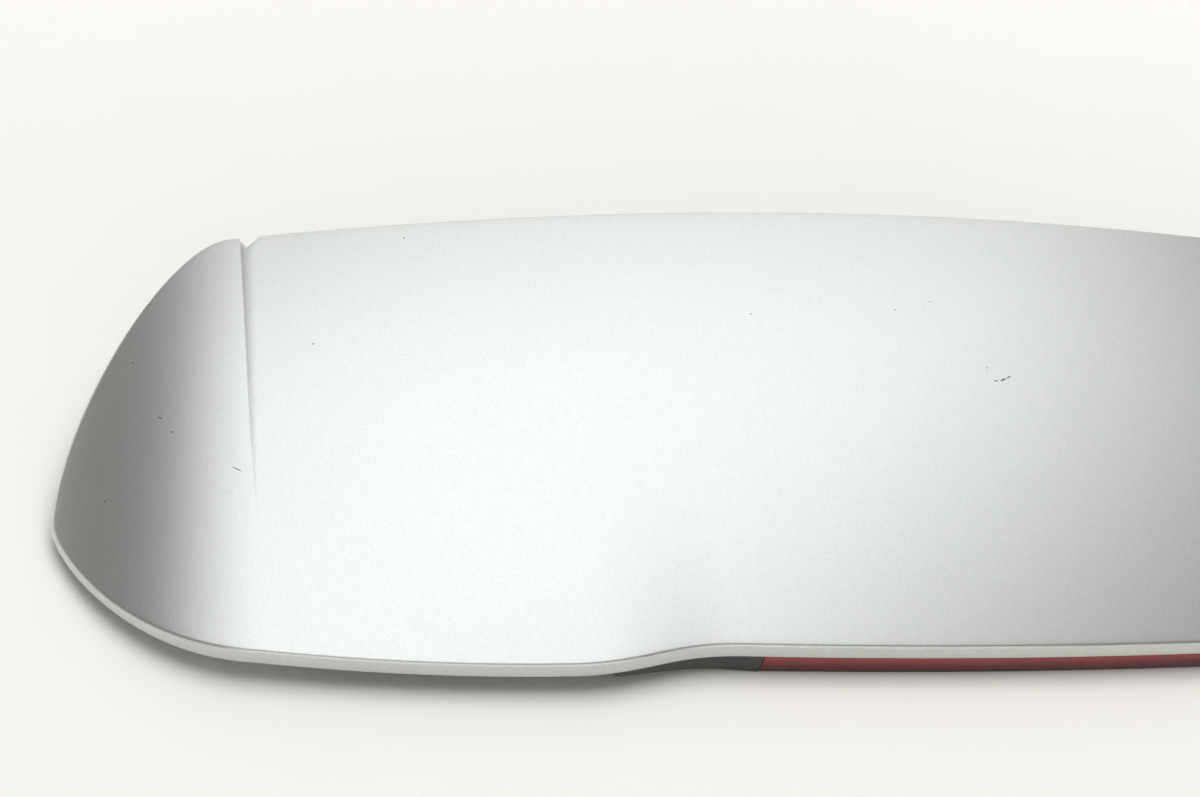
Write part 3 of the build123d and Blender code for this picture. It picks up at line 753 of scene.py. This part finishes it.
def cell_foam(finishes):
    """Closed-cell foam, cut from sheet: matt, nearly black, with small open cells on its skin."""
    made, tree, shader, place = new_material("Closed-cell foam", {"Roughness": 0.95})
    cells = add_node(tree, "ShaderNodeTexVoronoi", {
        "Vector": place, "Scale": per_mm(0.8),
    }).outputs["Distance"]
    tint(tree, shader, tuple(finishes.foam), cells, 0.7, 1.3)
    add_node(tree, "ShaderNodeBump", {
        "Strength": 0.5, "Distance": 0.3 * MM, "Height": cells,
    }, shader["Normal"])
    return made


def zinc_plate(finishes):
    """Steel with bright zinc plating: a cool metal with a slight cloudy spangle."""
    made, tree, shader, _, spangle = clouded(
        "Zinc-plated steel", finishes.zinc, 2.5, 3.0, (0.85, 1.1), {"Metallic": 1.0}
    )
    add_node(tree, "ShaderNodeMapRange", {
        "Value": spangle, "To Min": 0.25, "To Max": 0.45,
    }, shader["Roughness"])
    return made


def natural_nylon(finishes):
    """Undyed nylon, moulded: milky and slightly translucent, with a waxy sheen."""
    return clouded("Natural nylon", finishes.nylon, 4, 2.0, (0.93, 1.05), {
        "Roughness": 0.45,
        "Subsurface Weight": 0.2, "Subsurface Radius": (1.5 * MM, 1.3 * MM, 1.0 * MM),
    })[0]


def cured_adhesive(finishes):
    """Polyurethane adhesive, squeezed flat and cured: black, rubbery and uneven."""
    made, tree, shader, _, waves = clouded(
        "Cured polyurethane", finishes.adhesive, 6, 2.0, (0.8, 1.25), {"Roughness": 0.5}
    )
    add_node(tree, "ShaderNodeBump", {
        "Strength": 0.4, "Distance": 0.5 * MM, "Height": waves,
    }, shader["Normal"])
    return made


def solder_resist(finishes):
    """Green solder resist over copper tracks, screen printed: paler lines under a satin coat."""
    made, tree, shader, place = new_material("Green solder resist", {"Roughness": 0.35})
    add_node(tree, "ShaderNodeTexBrick", {
        "Vector": place,
        "Color1": (*finishes.board, 1),
        "Color2": tuple(0.9 * v for v in finishes.board) + (1,),
        "Mortar": tuple(1.7 * v for v in finishes.board) + (1,),
        "Scale": 1.0, "Mortar Size": 0.25 * MM, "Brick Width": 5 * MM, "Row Height": 2 * MM,
    }, shader["Base Color"])
    return made


def cast_epoxy(finishes):
    """Cast epoxy diode bodies: pale, smooth and slightly yellow."""
    return clouded("Cast epoxy", finishes.diode, 1.5, 1.0, (0.9, 1.05), {"Roughness": 0.2})[0]


def tinned_brass(finishes):
    """Brass pins with a thin tin coat, stamped: pale yellow metal with a fine, uneven sheen."""
    return clouded("Tinned brass", finishes.brass, 0.5, 2.0, (0.85, 1.1), {
        "Metallic": 1.0, "Roughness": 0.3,
    })[0]


# Distances from the part, in metres, over which the paper's own brightness sets in
LIFT_START = 0.5
LIFT_END = 3.2


def paper_sweep(stage):
    """Matt white paper laid over the table and up the wall. It takes the shadow, and far from the
    part, where the lamps don't reach, it shows at its own brightness."""
    fibres = (stage.floor, 90, 3.0, (0.99, 1.01))
    made, tree, shader, place, _ = clouded("Matt white paper sweep", *fibres, {
        "Roughness": 0.9, "Specular IOR Level": 0.1, "Emission Color": (*stage.floor, 1),
    })
    ray = add_node(tree, "ShaderNodeLightPath").outputs
    mirrored = add_node(tree, "ShaderNodeMath", {
        0: ray["Is Glossy Ray"], 1: ray["Is Transmission Ray"],
    }, operation="MAXIMUM")
    seen = add_node(tree, "ShaderNodeMath", {
        0: ray["Is Camera Ray"], 1: mirrored.outputs[0],
    }, operation="MAXIMUM")
    away = add_node(tree, "ShaderNodeVectorMath", {0: place}, operation="LENGTH")
    lift = add_node(tree, "ShaderNodeMapRange", {
        "Value": away.outputs["Value"], "From Min": LIFT_START, "From Max": LIFT_END,
        "To Max": stage.far_lift,
    }, interpolation_type="SMOOTHSTEP")
    add_node(tree, "ShaderNodeMath", {
        0: seen.outputs[0], 1: lift.outputs[0],
    }, shader["Emission Strength"], operation="MULTIPLY")
    return made


class SPOILER_OT_upper_skin(bpy.types.Operator):
    """Build the painted upper skin with its rounded edge, lip and shoulder folds"""

    bl_idname = "spoiler.upper_skin"
    bl_label = "Upper skin"

    def execute(self, context):
        points, faces = Skin(context.scene.spoiler_skin).mesh()
        paint = silver_paint(context.scene.spoiler_finishes)
        piece = add_piece("painted_skin", points, faces.tolist(), paint)
        stand_for(piece, "silver_paint", "upper_skin")
        return {"FINISHED"}


class SPOILER_OT_lower_skin(bpy.types.Operator):
    """Finish the lower skin and the bead that bonds it"""

    bl_idname = "spoiler.lower_skin"
    bl_label = "Lower skin"

    def execute(self, context):
        finishes = context.scene.spoiler_finishes
        plastic = grained_plastic("Grained grey ABS", finishes.plastic, grain=0.7, roughness=0.5)
        dress(plastic, "lower_skin")
        dress(cured_adhesive(finishes), "bond_bead")
        return {"FINISHED"}


# Sections of the foam in millimetres. The front seal's is measured back from the leading edge and
# down from the skin, the stud rings' by radius and height, and the socket frame's by the distance
# inside its outline and height
SEAL_SECTION = (
    (4.0, 3.6), (4.4, 3.3), (12.6, 3.3), (13.0, 3.6), (13.0, 10.0), (12.6, 11.6), (11.6, 12.7),
    (10.2, 13.0), (6.8, 13.0), (5.4, 12.7), (4.4, 11.6), (4.0, 10.0),
)
SEAL_STATIONS = 120
RING_PROFILE = (
    (10.0, 24.9), (10.5, 25.0), (16.5, 25.0), (17.0, 25.5), (17.0, 29.6), (16.6, 30.0),
    (10.4, 30.0), (10.0, 29.6),
)
GASKET_PROFILE = (
    (0.0, 1.1), (0.3, 0.8), (2.7, 0.8), (3.0, 1.1), (3.0, 2.3), (2.8, 2.5), (0.2, 2.5), (0.0, 2.3),
)
GASKET_HALF = (12.0, 10.0)
GASKET_CORNER = 3.2
GASKET_Y = -109.5
GASKET_CORNERS = ((1, 1), (-1, 1), (-1, -1), (1, -1))
CORNER_STEPS = 5


class SPOILER_OT_seals(bpy.types.Operator):
    """Build the foam seals under the leading edge, round the studs and round the lamp's socket"""

    bl_idname = "spoiler.seals"
    bl_label = "Foam seals"

    def execute(self, context):
        trim = context.scene.spoiler_trim
        skin = Skin(context.scene.spoiler_skin)
        foam = cell_foam(context.scene.spoiler_finishes)
        section = np.array(SEAL_SECTION) * MM

        def seal_section(share):
            x = np.full(len(section), share * trim.seal_half)
            y = skin.edge_y(x, True) - section[:, 0]
            return np.column_stack([x, y, skin.height(x, y) - section[:, 1]])

        seal = swept([seal_section(share) for share in np.linspace(-1, 1, SEAL_STATIONS + 1)])
        strip = add_piece("front_seal_foam", *seal, foam)
        stand_for(strip, "foam", "front_seal")
        rings = repeat(
            "stud_foam_rings", turned(np.array(RING_PROFILE) * MM, trim.segments, looped=True),
            (2, 2), (trim.stud_x, trim.stud_y), (0, trim.fixing_y, 0), foam,
        )
        stand_for(rings, "foam", "stud_gaskets")

        def frame_section(corner, share):
            bearing = math.radians(90 * (corner + share))
            middle = np.array(GASKET_CORNERS[corner]) * (np.array(GASKET_HALF) - GASKET_CORNER)
            out = np.array([math.cos(bearing), math.sin(bearing)])
            ring = [
                (*(middle + (GASKET_CORNER - inset) * out), z) for inset, z in GASKET_PROFILE
            ]
            return (np.array(ring) + (0, GASKET_Y, 0)) * MM

        around = swept([
            frame_section(corner, n / CORNER_STEPS) for corner in range(len(GASKET_CORNERS))
            for n in range(CORNER_STEPS + 1)
        ], looped=True)
        gasket = add_piece("lamp_socket_foam", *around, foam)
        stand_for(gasket, "foam", "lamp_gasket")
        return {"FINISHED"}


# Studs: depth of the thread, rows of its mesh to a turn, chamfer of the point and height at which
# the thread ends, in metres; then the flange and insert, by radius and height in millimetres
THREAD_DEPTH = 0.00055
THREAD_ROWS = 6
STUD_CHAMFER = 0.001
THREAD_END = 0.0283
FLANGE_PROFILE = (
    (8.6, 28.5), (9.0, 28.7), (9.0, 29.8), (8.8, 30.0), (4.5, 30.0), (4.5, 43.6), (4.1, 44.0),
)

# Clips, by radius and height in millimetres: the point, a barb above its foot, the feet of the
# barbs, and the stem, skirt, neck and head, which start where the last barb ends
CLIP_POINT = (1.4, 8.5)
CLIP_BARB = ((2.0, 0.0), (4.9, 3.8), (5.0, 4.05), (2.0, 4.15))
BARB_FEET = (8.9, 13.4, 17.9, 22.4)
CLIP_HEAD = (
    (2.0, 26.5), (2.0, 28.5), (9.6, 28.5), (10.0, 28.8), (10.0, 29.8), (9.8, 30.0), (3.8, 30.0),
    (3.8, 32.5), (8.8, 32.5), (9.0, 32.7), (9.0, 34.0), (8.5, 34.5),
)


class SPOILER_OT_fixings(bpy.types.Operator):
    """Build the threaded studs and the push-in clips"""

    bl_idname = "spoiler.fixings"
    bl_label = "Studs and clips"

    def execute(self, context):
        trim = context.scene.spoiler_trim
        finishes = context.scene.spoiler_finishes

        def thread(z):
            def radius(bearing):
                turn = (z / trim.thread_pitch - bearing / (2 * math.pi)) % 1
                deep = THREAD_DEPTH * (1 - abs(2 * turn - 1))
                return min(trim.thread_radius - deep, trim.thread_radius - STUD_CHAMFER + z)
            return radius

        steps = round(THREAD_END / trim.thread_pitch * THREAD_ROWS)
        profile = [(thread(z), z) for z in np.linspace(0, THREAD_END, steps + 1)]
        profile += list(np.array(FLANGE_PROFILE) * MM)
        studs = repeat(
            "threaded_studs", turned(profile, trim.segments), (2, 2), (trim.stud_x, trim.stud_y),
            (0, trim.fixing_y, 0), zinc_plate(finishes),
        )
        stand_for(studs, "zinc_steel", "mounting_studs")
        barbs = [(radius, foot + z) for foot in BARB_FEET for radius, z in CLIP_BARB]
        profile = np.array([CLIP_POINT, *barbs[:-1], *CLIP_HEAD]) * MM
        clips = repeat(
            "push_in_clips", turned(profile, trim.segments), (2, 1), (trim.clip_x, 0),
            (0, trim.fixing_y, 0), natural_nylon(finishes),
        )
        stand_for(clips, "nylon", "end_clips")
        return {"FINISHED"}


# Lens: stations along it, rounding of its edges, the share of that radius which a rounding's middle
# keeps from the corner, the points of its section that are fluted, and the angle of its sharp edges
LENS_STATIONS = 500
LENS_ROUND = 0.0005
ROUND_MIDDLE = 0.3
FLUTED_POINTS = (4, 5)
LENS_SHARP = math.radians(50)


class SPOILER_OT_lamp(bpy.types.Operator):
    """Build the fluted red lens and finish what stands behind it"""

    bl_idname = "spoiler.lamp"
    bl_label = "Stop lamp"

    def execute(self, context):
        trim = context.scene.spoiler_trim
        finishes = context.scene.spoiler_finishes
        skin = Skin(context.scene.spoiler_skin)
        front, inner = trim.lens_inset, trim.lens_inset + trim.lens_wall
        foot, top, r = trim.lens_wall, trim.lens_height, LENS_ROUND
        section = np.array([
            (front, 0, r),
            (front, 0, top - r),
            (front, r * ROUND_MIDDLE, top - r * ROUND_MIDDLE),
            (front, r, top),
            (inner, 0, top),
            (inner, 0, foot + 2 * r),
            (inner, r, foot + r),
            (inner, 2 * r, foot),
            (inner, trim.lens_flange, foot),
            (inner, trim.lens_flange, 0),
            (front, r, 0),
        ])
        fluted = np.isin(np.arange(len(section)), FLUTED_POINTS)

        def lens_section(share):
            z = section[:, 2]
            x = share * (trim.lens_half - trim.lens_slant * z / trim.lens_height)
            flute = trim.flute_depth * (1 - np.cos(2 * math.pi * x / trim.flute_pitch)) / 2
            y = skin.edge_y(x, False) + section[:, 0] + section[:, 1] - fluted * flute
            return np.column_stack([x, y, z])

        strip = swept([lens_section(share) for share in np.linspace(-1, 1, LENS_STATIONS + 1)])
        lens = add_piece("red_lens", *strip, red_acrylic(finishes))
        lens.data.set_sharp_from_angle(angle=LENS_SHARP)
        stand_for(lens, "red_acrylic", "lamp_lens")
        plastic = grained_plastic("Moulded black ABS", finishes.housing, grain=0.5, roughness=0.45)
        dress(plastic, "lamp_housing")
        dress(solder_resist(finishes), "lamp_circuit_board")
        dress(cast_epoxy(finishes), "lamp_leds")
        dress(tinned_brass(finishes), "lamp_terminals")
        dress(bpy.data.materials["Zinc-plated steel"], "lamp_screws")
        return {"FINISHED"}


# Paper, by radius and height in metres: its flat part, which lies just under the part, and its rise
# to the wall
PAPER_GAP = 0.0002
PAPER_FLAT = (0.05, 0.4, 0.8, 1.3, 2.0)
PAPER_RISE = (
    (3.2, 0.0), (3.5, 0.03), (3.75, 0.12), (3.92, 0.26), (4.0, 0.45), (4.0, 0.9), (4.0, 1.3),
)
PAPER_SEGMENTS = 96

# Fading of the softbox: direction, start and end in metres, levels there
SOFTBOX_EDGES = (
    ((1, 0, 0), -2.8, -1.1, 0.06, 0.94),
    ((1, 0, 0), -0.87, -0.85, 0.94, 1.0),
    ((1, -0.6, 0), 0.6, 2.6, 1.0, 0.02),
    ((0.15, 1, 0), 1.9, 4.3, 1.0, 0.4),
    ((0, 1, 0), -1.8, -1.4, 0.3, 1.0),
)


def hang(stage, key, name, facing=None):
    """An area lamp with the stage's settings of that key, facing a direction or else the part."""
    place, size, glow = (getattr(stage, key + value) for value in ("_place", "_size", "_glow"))
    lamp = bpy.data.lights.new(name, "AREA")
    lamp.shape = "RECTANGLE"
    lamp.size, lamp.size_y = size
    lamp.energy = glow * math.pi * size[0] * size[1]
    hung = bpy.data.objects.new(name, lamp)
    bpy.context.scene.collection.objects.link(hung)
    hung.location = place
    facing = facing or -Vector(place)
    hung.rotation_euler = facing.to_track_quat("-Z", "Y").to_euler()
    return hung


def fade(hung, edges):
    """Lets a lamp's cloth fade, as it does away from the bulb behind it. Each edge is a direction
    across the cloth, with the places where its fading starts and ends and the levels there."""
    lamp = hung.data
    lamp.use_nodes = True
    tree = lamp.node_tree
    place = add_node(tree, "ShaderNodeNewGeometry").outputs["Position"]
    level = None
    for direction, start, end, first, last in edges:
        along = add_node(tree, "ShaderNodeVectorMath", {
            0: place, 1: direction,
        }, operation="DOT_PRODUCT")
        step = add_node(tree, "ShaderNodeMapRange", {
            "Value": along.outputs["Value"],
            "From Min": start, "From Max": end, "To Min": first, "To Max": last,
        }).outputs[0]
        level = step if level is None else add_node(
            tree, "ShaderNodeMath", {0: level, 1: step}, operation="MULTIPLY"
        ).outputs[0]
    tree.links.new(level, tree.nodes["Emission"].inputs["Strength"])


class SPOILER_OT_stage(bpy.types.Operator):
    """Lay the paper sweep, hang the lamps and set the camera"""

    bl_idname = "spoiler.stage"
    bl_label = "Stage"

    def execute(self, context):
        scene = context.scene
        stage = scene.spoiler_stage
        profile = [(radius, -PAPER_GAP) for radius in PAPER_FLAT] + list(PAPER_RISE)
        paper = turned(profile, PAPER_SEGMENTS, capped=False)
        sweep = add_piece("paper_sweep", *paper, paper_sweep(stage))
        world = bpy.data.worlds.new("Dim room")
        scene.world = world
        world.use_nodes = True
        world.node_tree.nodes["Background"].inputs["Color"].default_value = (*stage.room, 1)
        down = Vector((0, 0, -1))
        fade(hang(stage, "softbox", "Overhead softbox", down), SOFTBOX_EDGES)
        hang(stage, "panel", "Front panel")
        hang(stage, "near", "Near panel")
        hang(stage, "table", "Table lamp", down).visible_glossy = False
        view = bpy.data.cameras.new("Photograph")
        view.lens = stage.lens
        view.sensor_fit = "HORIZONTAL"
        camera = bpy.data.objects.new("Photograph", view)
        scene.collection.objects.link(camera)
        camera.matrix_world = (
            Matrix.Translation(stage.camera)
            @ Matrix.Rotation(-stage.turn, 4, "Z")
            @ Matrix.Rotation(math.pi / 2 - stage.dip, 4, "X")
            @ Matrix.Rotation(stage.roll, 4, "Z")
        )
        scene.camera = camera
        scene.view_settings.view_transform = "Standard"
        return {"FINISHED"}


OPERATORS = (
    SPOILER_OT_upper_skin, SPOILER_OT_lower_skin, SPOILER_OT_seals, SPOILER_OT_fixings,
    SPOILER_OT_lamp, SPOILER_OT_stage,
)
SETTINGS = {
    "spoiler_skin": SpoilerSkinSizes,
    "spoiler_trim": SpoilerTrimSizes,
    "spoiler_finishes": SpoilerFinishes,
    "spoiler_stage": SpoilerStage,
}


class SPOILER_PT_sidebar(bpy.types.Panel):
    """The spoiler's pieces and stage"""

    bl_label = "Rear spoiler"
    bl_space_type = "VIEW_3D"
    bl_region_type = "UI"
    bl_category = "Spoiler"

    def draw(self, context):
        for operator in OPERATORS:
            self.layout.operator(operator.bl_idname)
        for key, group in SETTINGS.items():
            box = self.layout.box()
            box.label(text=group.__doc__)
            for name in group.__annotations__:
                box.prop(getattr(context.scene, key), name)


def register():
    for group in SETTINGS.values():
        bpy.utils.register_class(group)
    for key, group in SETTINGS.items():
        setattr(bpy.types.Scene, key, PointerProperty(type=group))
    for cls in (*OPERATORS, SPOILER_PT_sidebar):
        bpy.utils.register_class(cls)


def unregister():
    for cls in (SPOILER_PT_sidebar, *reversed(OPERATORS)):
        bpy.utils.unregister_class(cls)
    for key, group in SETTINGS.items():
        delattr(bpy.types.Scene, key)
        bpy.utils.unregister_class(group)


def main():
    register()
    bpy.ops.spoiler.upper_skin()
    bpy.ops.spoiler.lower_skin()
    bpy.ops.spoiler.seals()
    bpy.ops.spoiler.fixings()
    bpy.ops.spoiler.lamp()
    bpy.ops.spoiler.stage()
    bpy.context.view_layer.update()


if __name__ == "__main__":
    main()
